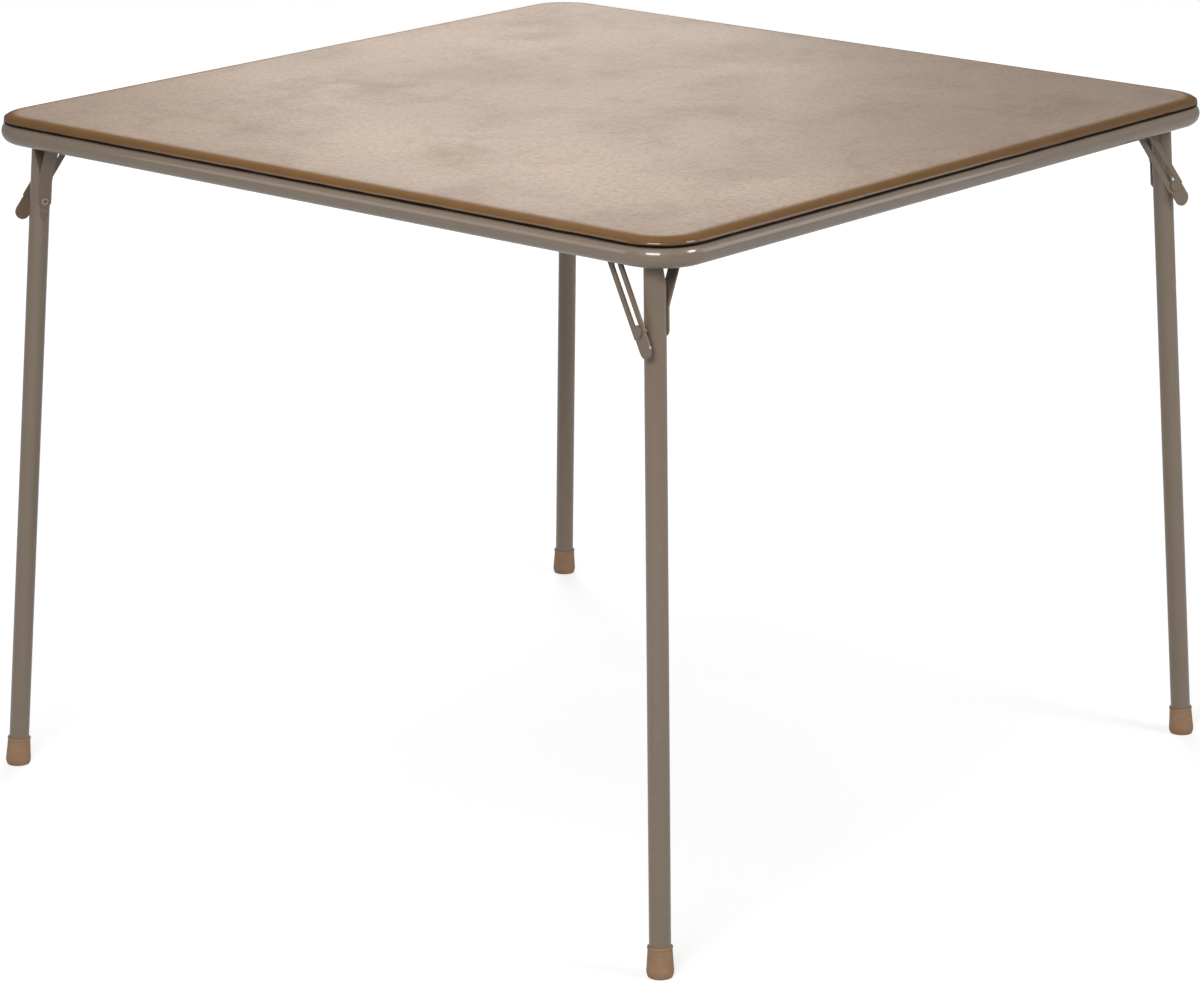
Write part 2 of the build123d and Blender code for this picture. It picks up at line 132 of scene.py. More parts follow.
def make_drift_group():
    """Colour drift: the colour times (1 plus amount times (cloud minus one half)).

    The cloud is soft noise between 0 and 1."""
    group, source, result = new_group(
        "colour_drift",
        [("Place", "NodeSocketVector", None), ("Colour", "NodeSocketColor", (0.5, 0.5, 0.5, 1)),
         ("Scale", "NodeSocketFloat", 10.0), ("Amount", "NodeSocketFloat", 0.2)],
        [("Colour", "NodeSocketColor"), ("Cloud", "NodeSocketFloat")])
    cloud = add_node(group, "ShaderNodeTexNoise", Detail=4.0, Roughness=0.55)
    join(group, source.outputs["Place"], cloud.inputs["Vector"])
    join(group, source.outputs["Scale"], cloud.inputs["Scale"])
    centred = group.nodes.new("ShaderNodeMath")
    centred.operation = "SUBTRACT"
    centred.inputs[1].default_value = 0.5
    join(group, cloud.outputs["Fac"], centred.inputs[0])
    factor = group.nodes.new("ShaderNodeMath")
    factor.operation = "MULTIPLY_ADD"
    factor.inputs[2].default_value = 1.0
    join(group, centred.outputs[0], factor.inputs[0])
    join(group, source.outputs["Amount"], factor.inputs[1])
    shade = group.nodes.new("ShaderNodeVectorMath")
    shade.operation = "SCALE"
    join(group, source.outputs["Colour"], shade.inputs[0])
    join(group, factor.outputs[0], shade.inputs["Scale"])
    join(group, shade.outputs[0], result.inputs["Colour"])
    join(group, cloud.outputs["Fac"], result.inputs["Cloud"])
    return group


drift_group = make_drift_group()
print("group", drift_group.name, "with", len(drift_group.nodes), "nodes")

# %% [markdown]
# ## Fine relief
# Orange peel in paint, moulded rubber and matted fibre all differ from a smooth face by a few
# hundredths of a millimetre. Geometry for that would be far too heavy, so a bump tilts the normal.

# %% Fine relief group
def make_relief_group():
    """Fine relief: soft noise of the given scale, turned into a bumped normal of the given height."""
    group, source, result = new_group(
        "fine_relief",
        [("Place", "NodeSocketVector", None), ("Scale", "NodeSocketFloat", 400.0),
         ("Height", "NodeSocketFloat", 0.0002), ("Strength", "NodeSocketFloat", 0.4)],
        [("Normal", "NodeSocketVector")])
    noise = add_node(group, "ShaderNodeTexNoise", Detail=3.0, Roughness=0.5)
    join(group, source.outputs["Place"], noise.inputs["Vector"])
    join(group, source.outputs["Scale"], noise.inputs["Scale"])
    bump = group.nodes.new("ShaderNodeBump")
    join(group, source.outputs["Strength"], bump.inputs["Strength"])
    join(group, source.outputs["Height"], bump.inputs["Distance"])
    join(group, noise.outputs["Fac"], bump.inputs["Height"])
    join(group, bump.outputs["Normal"], result.inputs["Normal"])
    return group


relief_group = make_relief_group()
print("group", relief_group.name, "with", len(relief_group.nodes), "nodes")

# %% [markdown]
# ## Wear marks
# Scuffs, dust, stains and patches are places, not drifts, so they need a mask with an edge. Noise
# minus a threshold, divided by a softness, is 0 over most of the surface and 1 within the marks.

# %% Wear group
def make_wear_group():
    """Wear marks: (noise minus threshold) divided by softness, held between 0 and 1, as a mask."""
    group, source, result = new_group(
        "wear_marks",
        [("Place", "NodeSocketVector", None), ("Scale", "NodeSocketFloat", 30.0),
         ("Threshold", "NodeSocketFloat", 0.62), ("Softness", "NodeSocketFloat", 0.06)],
        [("Mask", "NodeSocketFloat")])
    noise = add_node(group, "ShaderNodeTexNoise", Detail=6.0, Roughness=0.65)
    join(group, source.outputs["Place"], noise.inputs["Vector"])
    join(group, source.outputs["Scale"], noise.inputs["Scale"])
    above = group.nodes.new("ShaderNodeMath")
    above.operation = "SUBTRACT"
    join(group, noise.outputs["Fac"], above.inputs[0])
    join(group, source.outputs["Threshold"], above.inputs[1])
    mask = group.nodes.new("ShaderNodeMath")
    mask.operation = "DIVIDE"
    mask.use_clamp = True
    join(group, above.outputs[0], mask.inputs[0])
    join(group, source.outputs["Softness"], mask.inputs[1])
    join(group, mask.outputs[0], result.inputs["Mask"])
    return group


wear_group = make_wear_group()
print("group", wear_group.name, "with", len(wear_group.nodes), "nodes")

# %% [markdown]
# ## Putting the effects together
# A material places a group, feeds it the piece's coordinates, and lays one colour over another where
# a mask says so. Roughness is a mask too, once it is mapped onto the span that the finish has.

# %% Mixing helpers
def use_group(tree, group, place, **inputs):
    """Places a shared group in a material, fed with the piece's coordinates and its own values."""
    node = tree.nodes.new("ShaderNodeGroup")
    node.node_tree = group
    join(tree, place, node.inputs["Place"])
    for name, value in inputs.items():
        node.inputs[name.replace("_", " ")].default_value = value
    return node


def mix_colours(tree, mask, first, second):
    """Mixes two colours by a mask: the first where it is 0, the second where it is 1."""
    mix = tree.nodes.new("ShaderNodeMix")
    mix.data_type = "RGBA"
    join(tree, mask, mix.inputs["Factor"])
    for value, socket in ((first, mix.inputs["A"]), (second, mix.inputs["B"])):
        if isinstance(value, tuple):
            socket.default_value = value
        else:
            join(tree, value, socket)
    return mix.outputs["Result"]


def span_value(tree, value, low, high):
    """Maps a value from 0 to 1 onto the span from low to high."""
    span = tree.nodes.new("ShaderNodeMapRange")
    join(tree, value, span.inputs["Value"])
    span.inputs["To Min"].default_value = low
    span.inputs["To Max"].default_value = high
    return span.outputs["Result"]


print("shared groups", [group.name for group in bpy.data.node_groups])

# %% [markdown]
# ## Taupe paint
# The tubes and strips are sprayed and baked in one semi-gloss taupe. Such paint has a slight orange
# peel, drifts a little in tone, and collects faint dust. A single rough surface would give only a
# broad sheen. A thin glossy coat over a rougher base gives that sheen and, on top of it, the sharp
# highlights of the rail's near corner. The strips are duller. The hidden brackets are painted darker:
# that is painted shade, for the deep shadow in the hollow under the rail. The heads of the lock
# rivets are glossier, and their paler colour is a painted highlight.

# %% Painted steel
dust_paleness = 1.35
rough_drift = 0.07
coat_roughness = 0.07
coat_ior = 1.6


def make_paint(name, colour, roughness, coat):
    """Baked paint: drifting colour with faint dust, orange-peel relief, and a thin gloss coat.

    Dust is the paint's colour times dust_paleness. The roughness wanders by rough_drift to each
    side, with the same clouds as the colour, and coat is the strength of the gloss."""
    material, tree, shader, place = start_material(name)
    drift = use_group(tree, drift_group, place, Colour=colour, Scale=14.0, Amount=0.16)
    dust = use_group(tree, wear_group, place, Scale=90.0, Threshold=0.6, Softness=0.3)
    pale = tuple(min(1.0, v * dust_paleness) for v in colour[:3]) + (1.0,)
    coloured = mix_colours(tree, dust.outputs["Mask"], drift.outputs["Colour"], pale)
    join(tree, coloured, shader.inputs["Base Color"])
    rough = span_value(tree, drift.outputs["Cloud"], roughness - rough_drift, roughness + rough_drift)
    join(tree, rough, shader.inputs["Roughness"])
    peel = use_group(tree, relief_group, place, Scale=700.0, Height=0.00015, Strength=0.25)
    join(tree, peel.outputs["Normal"], shader.inputs["Normal"])
    shader.inputs["Coat Weight"].default_value = coat
    shader.inputs["Coat Roughness"].default_value = coat_roughness
    shader.inputs["Coat IOR"].default_value = coat_ior
    return material


tube_paint = make_paint("painted_tube", taupe, roughness=0.4, coat=1.0)
strip_paint = make_paint("painted_strip", linear(136, 118, 101), roughness=0.4, coat=0.6)
# Painted shade: the brackets are painted darker than the frame, for the deep shadow in the hollow
# under the rail.
bracket_shade_paint = make_paint("bracket_steel", linear(100, 87, 75), roughness=0.5, coat=0.2)
# Painted highlight: the rivet heads are paler for the bright ring of their highlight; their glossy
# coat is real.
rivet_highlight_paint = make_paint("rivet_head_painted_highlight", linear(172, 157, 140), roughness=0.28, coat=1.0)
print("paints", [paint.name for paint in (tube_paint, strip_paint, bracket_shade_paint, rivet_highlight_paint)])

# %% [markdown]
# ## Zinc-plated hardware
# Hinge rods, studs, sleeves and screws are zinc-plated steel, seen only from below. A metal of one
# grey and one roughness would look like foil. Plating is satin and its tone clouds, so both the
# colour and the roughness vary here, with some darker stains.

# %% Plated steel
def make_zinc(name):
    """Plated steel: a metal with clouded colour and roughness, and darker stains here and there."""
    material, tree, shader, place = start_material(name)
    drift = use_group(tree, drift_group, place, Colour=linear(176, 172, 163), Scale=60.0, Amount=0.3)
    stain = use_group(tree, wear_group, place, Scale=160.0, Threshold=0.55, Softness=0.25)
    stained = mix_colours(tree, stain.outputs["Mask"], drift.outputs["Colour"], linear(126, 119, 107))
    join(tree, stained, shader.inputs["Base Color"])
    join(tree, span_value(tree, stain.outputs["Mask"], 0.32, 0.55), shader.inputs["Roughness"])
    fine = use_group(tree, relief_group, place, Scale=1500.0, Height=0.00005, Strength=0.3)
    join(tree, fine.outputs["Normal"], shader.inputs["Normal"])
    shader.inputs["Metallic"].default_value = 1.0
    return material


zinc = make_zinc("zinc_steel")
print("hardware", zinc.name)

# %% [markdown]
# ## Tan rubber feet
# The feet are moulded rubber tips. In one flat tan they would look like plastic. Rubber is matte
# and slightly blotched, with a sandy face and dull pale scuffs, so it has more drift and a stronger
# relief than the paint has.

# %% Moulded rubber
def make_rubber(name):
    """Moulded rubber: blotched tan, greyer scuffs, matte, with a fine sandy relief."""
    material, tree, shader, place = start_material(name)
    drift = use_group(tree, drift_group, place, Colour=linear(174, 138, 107), Scale=70.0, Amount=0.35)
    scuff = use_group(tree, wear_group, place, Scale=220.0, Threshold=0.58, Softness=0.2)
    scuffed = mix_colours(tree, scuff.outputs["Mask"], drift.outputs["Colour"], linear(190, 163, 137))
    join(tree, scuffed, shader.inputs["Base Color"])
    join(tree, span_value(tree, scuff.outputs["Mask"], 0.55, 0.8), shader.inputs["Roughness"])
    sandy = use_group(tree, relief_group, place, Scale=1100.0, Height=0.0002, Strength=0.5)
    join(tree, sandy.outputs["Normal"], shader.inputs["Normal"])
    return material


rubber = make_rubber("tan_rubber")
print("feet", rubber.name)

# %% [markdown]
# ## Hardboard underside
# From below one sees the bare board of the top: pressed brown fibre, matted like felt. Even noise
# would look like cork. Noise that is squeezed along one direction gives the lighter fibres, and a
# fine even noise gives only the matted relief.

# %% Pressed fibre board
def make_hardboard(name):
    """Fibre board: brown with lighter streaks, which are noise squeezed twelve times along Y."""
    material, tree, shader, place = start_material(name)
    drift = use_group(tree, drift_group, place, Colour=linear(118, 86, 60), Scale=6.0, Amount=0.25)
    stretch = tree.nodes.new("ShaderNodeMapping")
    stretch.inputs["Scale"].default_value = (1.0, 12.0, 1.0)
    join(tree, place, stretch.inputs["Vector"])
    fibre = use_group(tree, wear_group, stretch.outputs["Vector"],
                      Scale=90.0, Threshold=0.5, Softness=0.2)
    streaked = mix_colours(tree, fibre.outputs["Mask"], drift.outputs["Colour"], linear(146, 111, 80))
    join(tree, streaked, shader.inputs["Base Color"])
    mat = use_group(tree, relief_group, place, Scale=900.0, Height=0.0003, Strength=0.5)
    join(tree, mat.outputs["Normal"], shader.inputs["Normal"])
    shader.inputs["Roughness"].default_value = 0.78
    return material


hardboard = make_hardboard("hardboard")
print("board", hardboard.name)

# %% [markdown]
# ## Where the skin's edge begins
# The top is a greige vinyl, and its rolled edge is brown. The brown could be a second
# piece or a second material, but then it would end in a line. A mask lets it come in softly, by the
# distance from the outline, which follows from the place itself: beyond the middle of a corner's
# arc, the distance from that middle is a length, and the arc's radius minus it is the inset.

# %% Edge mask
cover_low, cover_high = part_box("vinyl_cover")
cover_half = (cover_high[0] - cover_low[0]) / 2
cover_radius = 0.0486
above_all = 10.0


def edge_mask(tree, place, inset_from, inset_to):
    """0 on the top face and 1 at the outline, easing between the two insets from the outline.

    The length is that of (|x| - run, |y| - run), with negative parts taken as 0, where run is the
    cover's half side minus its radius. Taking above_all from the height leaves the height out."""
    flat = tree.nodes.new("ShaderNodeVectorMath")
    flat.operation = "ABSOLUTE"
    join(tree, place, flat.inputs[0])
    beyond = tree.nodes.new("ShaderNodeVectorMath")
    beyond.operation = "SUBTRACT"
    run = cover_half - cover_radius
    beyond.inputs[1].default_value = (run, run, above_all)
    join(tree, flat.outputs[0], beyond.inputs[0])
    positive = tree.nodes.new("ShaderNodeVectorMath")
    positive.operation = "MAXIMUM"
    join(tree, beyond.outputs[0], positive.inputs[0])
    length = tree.nodes.new("ShaderNodeVectorMath")
    length.operation = "LENGTH"
    join(tree, positive.outputs[0], length.inputs[0])
    fade = tree.nodes.new("ShaderNodeMapRange")
    fade.interpolation_type = "SMOOTHSTEP"
    fade.inputs["From Min"].default_value = cover_radius - inset_from
    fade.inputs["From Max"].default_value = cover_radius - inset_to
    join(tree, length.outputs["Value"], fade.inputs["Value"])
    return fade.outputs["Result"]


print("cover half side", round(cover_half, 4), "corner radius", cover_radius)

# %% [markdown]
# ## Creases, painted as shade
# The photographed skin has a few soft, curved creases. They are painted here as darker lines of
# shade, with no relief. Noise alone makes clouds and no lines, but the borders of large cells are
# lines. They are bent by noise and broken off by a wear mask, so that no whole cell is left to see.

# %% Crease mask
crease_bend = 0.16
crease_width = 0.11


def crease_shade_mask(tree, place):
    """Thin soft lines of painted crease shade: the borders of large bent cells, kept only where a
    slow noise is high.

    A place is moved by crease_bend times a noise, and a line fades out at crease_width, measured in
    the cells' own scale."""
    bend = add_node(tree, "ShaderNodeTexNoise", Scale=9.0, Detail=2.0)
    join(tree, place, bend.inputs["Vector"])
    shift = tree.nodes.new("ShaderNodeVectorMath")
    shift.operation = "MULTIPLY_ADD"
    shift.inputs[1].default_value = (crease_bend, crease_bend, crease_bend)
    join(tree, bend.outputs["Color"], shift.inputs[0])
    join(tree, place, shift.inputs[2])
    cells = add_node(tree, "ShaderNodeTexVoronoi", Scale=8.0)
    cells.feature = "DISTANCE_TO_EDGE"
    join(tree, shift.outputs[0], cells.inputs["Vector"])
    line = tree.nodes.new("ShaderNodeMapRange")
    line.interpolation_type = "SMOOTHSTEP"
    line.inputs["From Min"].default_value = crease_width
    line.inputs["From Max"].default_value = 0.0
    join(tree, cells.outputs["Distance"], line.inputs["Value"])
    kept = use_group(tree, wear_group, place, Scale=6.0, Threshold=0.5, Softness=0.12)
    both = tree.nodes.new("ShaderNodeMath")
    both.operation = "MULTIPLY"
    join(tree, line.outputs["Result"], both.inputs[0])
    join(tree, kept.outputs["Mask"], both.inputs[1])
    return both.outputs[0]


print("creases bend by up to", round(crease_bend * 1000), "mm")

# %% [markdown]
# ## Painted shade at the hem
# Where the skin turns under, the photograph shows a dark line of uneven height between the brown
# roll and the rail. It is the deep shadow in the gap under the skin's edge, painted here near black
# onto the hem's lowest millimetres. A mask by height makes this painted shade, and noise added to
# the height makes it wander, because a ruled line would look printed.

# %% Hem mask
hem_wander = 0.002
hem_clear = 0.0013
hem_dark = 0.0009


def hem_shade_mask(tree, place):
    """Painted shade on the turned hem, for the gap under the skin's edge: 1 on the hem and 0 above
    it, by the height over the cover's lower edge.

    The height plus hem_wander times a noise around one half is compared with the lower edge plus
    half of hem_wander: from hem_clear up it is clear, and from hem_dark down it is dark."""
    wander = add_node(tree, "ShaderNodeTexNoise", Scale=26.0, Detail=3.0)
    join(tree, place, wander.inputs["Vector"])
    height = tree.nodes.new("ShaderNodeSeparateXYZ")
    join(tree, place, height.inputs["Vector"])
    moved = tree.nodes.new("ShaderNodeMath")
    moved.operation = "MULTIPLY_ADD"
    moved.inputs[1].default_value = hem_wander
    join(tree, wander.outputs["Fac"], moved.inputs[0])
    join(tree, height.outputs["Z"], moved.inputs[2])
    fade = tree.nodes.new("ShaderNodeMapRange")
    fade.interpolation_type = "SMOOTHSTEP"
    fade.inputs["From Min"].default_value = cover_low[2] + hem_wander / 2 + hem_clear
    fade.inputs["From Max"].default_value = cover_low[2] + hem_wander / 2 + hem_dark
    join(tree, moved.outputs[0], fade.inputs["Value"])
    return fade.outputs["Result"]


hem_span = [round(cover_low[2] + height, 4) for height in (hem_dark, hem_clear)]
print("the hem clears between the heights", hem_span)

# %% [markdown]
# ## Leather grain
# The vinyl is embossed like leather: small rounded pebbles with fine valleys between them. Cells give
# the pebbles and noise the wrinkles on them, and both together are the height of a bump.

# %% Leather grain
pebble_share = 0.7


def leather_normal(tree, place):
    """The bumped normal of (pebble_share times the distance to a cell's border, plus noise).

    It also returns the noise alone, so that the same wrinkles can be darkened."""
    cells = add_node(tree, "ShaderNodeTexVoronoi", Scale=380.0)
    cells.feature = "DISTANCE_TO_EDGE"
    join(tree, place, cells.inputs["Vector"])
    fold = add_node(tree, "ShaderNodeTexNoise", Scale=170.0, Detail=4.0)
    join(tree, place, fold.inputs["Vector"])
    relief = tree.nodes.new("ShaderNodeMath")
    relief.operation = "MULTIPLY_ADD"
    relief.inputs[1].default_value = pebble_share
    join(tree, cells.outputs["Distance"], relief.inputs[0])
    join(tree, fold.outputs["Fac"], relief.inputs[2])
    bump = add_node(tree, "ShaderNodeBump", Strength=0.3, Distance=0.0007)
    join(tree, relief.outputs[0], bump.inputs["Height"])
    return bump.outputs["Normal"], fold.outputs["Fac"]


print("share of the pebbles in the grain", pebble_share)

# %% [markdown]
# ## Embossed vinyl
# Now the skin is put together from the large to the small: a cloudy greige, darker patches, painted
# shade along the creases, specks in the grain, the brown of the roll and painted shade on the hem.
# The face is a dull vinyl. Only the outermost part of the roll is polished by hands and sleeves, so a
# glossy coat comes in just there and catches the lamps at the near corner.

# %% Vinyl skin
brown_insets = (0.0172, 0.0076)
polish_insets = (0.0026, 0.0008)
crease_shade_strength = 0.22
speck_strength = 0.38
face_roughness = (0.42, 0.52)
polish_roughness = 0.06


def make_vinyl(name):
    """Leather-grained vinyl: clouded greige above, brown on the roll, and painted shade on the hem
    under it.

    Brown and polish ease in between two insets each. The roughness is the larger of the face's and
    the hem's, and the coat is the polish minus the hem, so that the shaded hem stays dull."""
    material, tree, shader, place = start_material(name)
    broad = use_group(tree, drift_group, place, Colour=linear(176, 155, 137), Scale=2.6, Amount=0.8)
    patch = use_group(tree, wear_group, place, Scale=7.0, Threshold=0.46, Softness=0.3)
    clouds = mix_colours(tree, patch.outputs["Mask"], broad.outputs["Colour"], linear(156, 136, 119))
    # Painted shade: the creases are only darker lines in the colour, with no relief in the shape.
    crease = crease_shade_mask(tree, place)
    creased = mix_colours(
        tree, span_value(tree, crease, 0.0, crease_shade_strength), clouds, linear(120, 102, 87))
    normal, grain = leather_normal(tree, place)
    speck = tree.nodes.new("ShaderNodeMapRange")
    speck.inputs["From Min"].default_value = 0.46
    speck.inputs["From Max"].default_value = 0.62
    speck.inputs["To Max"].default_value = speck_strength
    join(tree, grain, speck.inputs["Value"])
    grained = mix_colours(tree, speck.outputs["Result"], creased, linear(136, 117, 101))
    edge = edge_mask(tree, place, *brown_insets)
    brown = use_group(tree, drift_group, place, Colour=linear(118, 84, 45), Scale=30.0, Amount=0.3)
    rolled = mix_colours(tree, edge, grained, brown.outputs["Colour"])
    # Painted shade: near black on the hem's lowest millimetres, for the deep shadow in the gap
    # between the skin and the rail.
    hem = hem_shade_mask(tree, place)
    join(tree, mix_colours(tree, hem, rolled, linear(20, 11, 7)), shader.inputs["Base Color"])
    join(tree, normal, shader.inputs["Normal"])
    dull = tree.nodes.new("ShaderNodeMath")
    dull.operation = "MAXIMUM"
    join(tree, span_value(tree, patch.outputs["Mask"], *face_roughness), dull.inputs[0])
    join(tree, hem, dull.inputs[1])
    join(tree, dull.outputs[0], shader.inputs["Roughness"])
    glossy = tree.nodes.new("ShaderNodeMath")
    glossy.operation = "SUBTRACT"
    glossy.use_clamp = True
    join(tree, edge_mask(tree, place, *polish_insets), glossy.inputs[0])
    join(tree, hem, glossy.inputs[1])
    join(tree, glossy.outputs[0], shader.inputs["Coat Weight"])
    shader.inputs["Coat Roughness"].default_value = polish_roughness
    shader.inputs["Specular IOR Level"].default_value = 0.35
    return material


vinyl = make_vinyl("vinyl")
print("skin", vinyl.name, "of", len(vinyl.node_tree.nodes), "nodes")

# %% [markdown]
# ## Finishes on the frame's own parts
# The solids of the frame keep their shape. Each could be dressed by hand, but their names begin with
# the kind of part they are, so a table from kind to finish dresses all of them, on all four legs. The
# two soft solids get the vinyl as well, although the padded top made below will stand in for them.

# %% Dress the frame
finishes = {
    "frame_rail": tube_paint, "leg_tube": tube_paint,
    "brace_bar": strip_paint, "lock_link": strip_paint, "lock_pin": strip_paint,
    "lock_rivet": rivet_highlight_paint, "corner_bracket": bracket_shade_paint,
    "hinge_rod": zinc, "link_stud": zinc, "spread_sleeve": zinc, "top_screws": zinc,
    "rubber_foot": rubber, "top_board": hardboard, "vinyl_cover": vinyl, "foam_pad": vinyl,
}
for node_name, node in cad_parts.items():
    kind = next(k for k in finishes if node_name.startswith(k))
    if not node.material_slots:
        node.data.materials.append(finishes[kind])
    for slot in node.material_slots:
        slot.material = finishes[kind]
print("finished", len(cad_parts), "parts in", len(set(finishes.values())), "materials")

# %% [markdown]
# ## The shape of the padded top
# The top is a board with a thin foam sheet, wrapped in vinyl that is turned under its edge. Its
# outline is a square with round corners. A bevelled cube would give one too, but not points at
# places that can be worked out. One side of the outline is a straight run and two eighths of a
# circle, so a place on it follows from one number that runs from -1 to 1.

# %% Rounded square
tiny = 1e-9


def side_places(t, half, radius):
    """Places on the right-hand side of a rounded square, from corner middle to corner middle.

    The length from the side's middle is |t| times (half - radius + radius * pi / 4). Up to
    half - radius it is a straight run at x = half, and beyond that an arc about (half - radius)."""
    run = half - radius
    length = np.abs(t) * (run + radius * np.pi / 4)
    angle = np.maximum(length - run, 0) / np.maximum(radius, tiny)
    x = half - radius + radius * np.cos(angle)
    y = np.where(length < run, length, run + radius * np.sin(angle))
    return x, np.sign(t) * y


def outline(t, side, half, radius):
    """The same place turned by quarter turns to side 0, 1, 2 or 3."""
    x, y = side_places(t, half, radius)
    turn = side * np.pi / 2
    return x * np.cos(turn) - y * np.sin(turn), x * np.sin(turn) + y * np.cos(turn)


side_middle = side_places(np.array(0.0), cover_half, cover_radius)
print("middle of a side", [round(float(v), 4) for v in side_middle])

# %% [markdown]
# ## A grid that fits the outline
# Rings that shrink to a point would leave a pole in the middle of the table, where shading pinches.
# Instead the top face is a square grid of cells: each square ring of the grid is laid on a rounded
# square, so that the outermost ring is the outline and the middle stays a plain grid.

# %% Top face
face_cells = 88
roll_inset = 0.012


def top_face(count, half, radius):
    """Grid places for a and b from -1 to 1.

    The ring is max(|a|, |b|), its half side is ring * half, its corner radius is ring squared *
    radius, and t is the other coordinate divided by the ring."""
    line = np.linspace(-1, 1, count + 1)
    a, b = np.meshgrid(line, line, indexing="ij")
    ring = np.maximum(np.abs(a), np.abs(b))
    safe = np.maximum(ring, tiny)
    side = np.select([a >= ring, b >= ring, a <= -ring], [0, 1, 2], 3)
    t = np.select([side == 0, side == 1, side == 2], [b, -a, -b], a) / safe
    x, y = outline(t, side, ring * half, ring ** 2 * radius)
    return np.where(ring > 0, x, 0.0), np.where(ring > 0, y, 0.0)


def rim_order(count):
    """The indices of the grid's outermost ring, once round, and the side and t of each."""
    step = np.arange(count)
    right = count * (count + 1) + step
    top = (count - step) * (count + 1) + count
    left = count - step
    bottom = step * (count + 1)
    t = step / count * 2 - 1
    return np.concatenate([right, top, left, bottom]), np.repeat(np.arange(4), count), np.tile(t, 4)


face_x, face_y = top_face(face_cells, cover_half - roll_inset, cover_radius - roll_inset)
rim, rim_side, rim_t = rim_order(face_cells)
print("top face", face_x.size, "points, rim of", rim.size)

# %% [markdown]
# ## Edge, hem and underside
# From the rim of the top face the skin rolls over the foam, falls to the board's lower edge and is
# turned under it. Then the pad's inside follows the board: in over the hem, up along the board's
# side and flat over the board. A solid body could be bevelled to that, but the roll is an ellipse and
# the hem is loose, so the edge is a profile of inset and height here, carried round the outline. The
# face starts lower than the top's full height by the swell that is added to it later.

# %% Edge profile
top_height = cad_high[2]
swell = 0.0008
board_low, board_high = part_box("top_board")
board_side = cover_half - board_high[0]
roll_drop = 0.006
hem_round = 0.0008
hem_under = 0.0016
hem_hang = 0.0016
wave_height = 0.0003
board_gap = 0.0001
face_gap = 0.00005


def edge_profile(top):
    """Rows of (inset, height, share of the hem's wave) from the rim down and round to the board.

    The roll is a quarter ellipse, roll_inset wide and roll_drop high. The side is straight, with half
    of the wave at its middle. The hem turns under on a quarter circle of hem_round. The inside keeps
    board_gap from the board's side and underside and face_gap from its face."""
    fall = top - roll_drop
    rows = [(roll_inset * (1 - np.sin(a)), fall + roll_drop * np.cos(a), 0.0)
            for a in np.radians([15, 30, 45, 60, 75, 90])]
    hem = cover_low[2] - hem_hang + wave_height
    rows.append((0.0, (fall + hem + hem_round) / 2, 0.5))
    rows += [(hem_round * (1 - np.cos(a)), hem + hem_round * (1 - np.sin(a)), 1.0)
             for a in np.radians([0, 30, 60, 90])]
    inner = board_side - board_gap
    under = board_low[2] - board_gap
    rows += [(hem_under, hem, 1.0), (hem_under, under, 0.0),
             (inner, under, 0.0), (inner, board_high[2] + face_gap, 0.0)]
    return np.array(rows)


profile = edge_profile(top_height - swell)
print("edge rows", len(profile))
print("first", profile[0].round(4).tolist(), "last", profile[-1].round(4).tolist())

# %% [markdown]
# ## A hand-pulled hem
# The hem of a real cover is pulled and stapled by hand, so its lower edge isn't straight. A random
# height at each point would look torn. A sum of a few waves of unrelated lengths looks irregular and
# smooth, and is the same on every run.

# %% Hem wave
hem_waves = ((1.0, 0.083, 0.0), (0.7, 0.137, 1.3), (0.5, 0.051, 0.4))


def hem_wave(x, y):
    """A sum of sines, each with its share, length in metres and start, divided by all the shares.

    They run over x + y, which grows or falls evenly along each straight side."""
    along = (x + y) * 2 * np.pi
    waves = sum(share * np.sin(along / length + start) for share, length, start in hem_waves)
    return waves / sum(share for share, length, start in hem_waves)


print("hem waves of", [round(length * 1000) for share, length, start in hem_waves], "mm")

# %% [markdown]
# ## Cells between the points
# A mesh needs to know which four points make each cell. On a grid and between two rows these follow
# from the points' numbers, so whole arrays of cells are made at once. The order of the four decides
# which side is the outer one.

# %% Cells
def grid_quads(count):
    """Corner indices of every cell of the face, wound so that the cells face up."""
    i, j = np.meshgrid(np.arange(count), np.arange(count), indexing="ij")
    first = (i * (count + 1) + j).ravel()
    return np.stack([first, first + count + 1, first + count + 2, first + 1], axis=1)


def band_quads(upper, lower):
    """Cells between two closed rows of indices, wound so that the outer side shows."""
    return np.stack([upper, lower, np.roll(lower, -1), np.roll(upper, -1)], axis=1)


print("cells of the face", len(grid_quads(face_cells)))

# %% [markdown]
# ## One closed mesh
# The face's cells, the bands between the profile's rows and a second, flat grid over the board make
# a closed pad. The second grid shares its rim with the last row of the profile. One many-sided
# polygon would do for that hidden side too, but subdividing such a polygon takes minutes.

# %% Build the pad
def under_grid(last_row, first_index, inset, height):
    """The grid over the board: new places for its inner points, and its cells wound to face down.

    Its numbering starts as -1 everywhere, takes the last row's numbers on the rim, and counts on
    from first_index inside."""
    x, y = top_face(face_cells, cover_half - inset, cover_radius - inset)
    numbers = np.full(x.size, -1)
    numbers[rim] = last_row
    inner = np.flatnonzero(numbers < 0)
    numbers[inner] = first_index + np.arange(inner.size)
    inner_places = np.stack([x.ravel()[inner], y.ravel()[inner], np.full(inner.size, height)], axis=1)
    return inner_places, numbers[grid_quads(face_cells)][:, ::-1]


